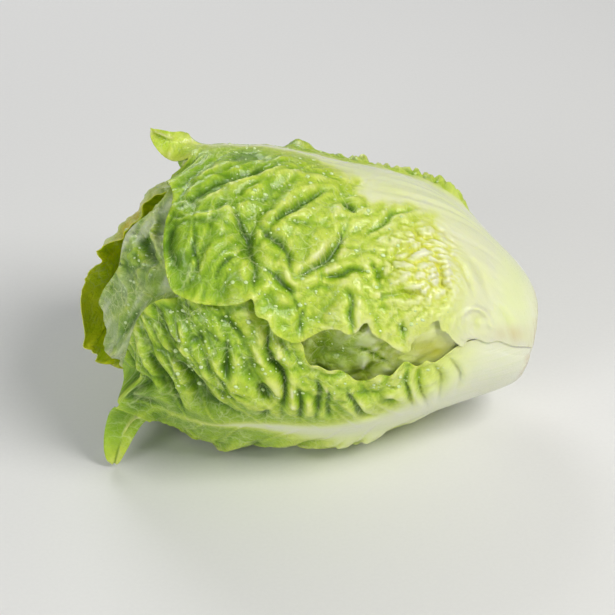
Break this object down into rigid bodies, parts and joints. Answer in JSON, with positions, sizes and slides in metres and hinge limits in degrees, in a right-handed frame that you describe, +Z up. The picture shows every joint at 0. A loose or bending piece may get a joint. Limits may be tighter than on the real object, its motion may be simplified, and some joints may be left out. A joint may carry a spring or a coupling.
{
  "type": "romaine lettuce heart",
  "caption": "Short plump romaine lettuce heart lying on its side: crinkled ribbed leaves wrapped in a spiral round a short stem with a clean oblique cut.",
  "frame": {"origin": "middle of the footprint's bounding box, on the surface the head lies on", "axes": "+X along the head from the tips to the cut stem end, +Y to the back, +Z up"},
  "size_m": [0.1378, 0.0942, 0.0907],
  "materials": {
    "stem": "moist cut stem, cream, drying to pale brown",
    "outer_leaf": "waxy wet leaf, green blade fading to a white rib",
    "heart_leaf": "waxy leaf, pale yellow-green"
  },
  "bodies": {
    "root": {"stem_core": "stem", "outer_leaf_1": "outer_leaf", "outer_leaf_2": "outer_leaf", "outer_leaf_3": "outer_leaf", "outer_leaf_4": "outer_leaf", "outer_leaf_5": "outer_leaf", "outer_leaf_6": "outer_leaf", "heart_leaf_1": "heart_leaf", "heart_leaf_2": "heart_leaf", "heart_leaf_3": "heart_leaf", "heart_leaf_4": "heart_leaf", "heart_leaf_5": "heart_leaf", "heart_leaf_6": "heart_leaf"}
  },
  "joints": []
}
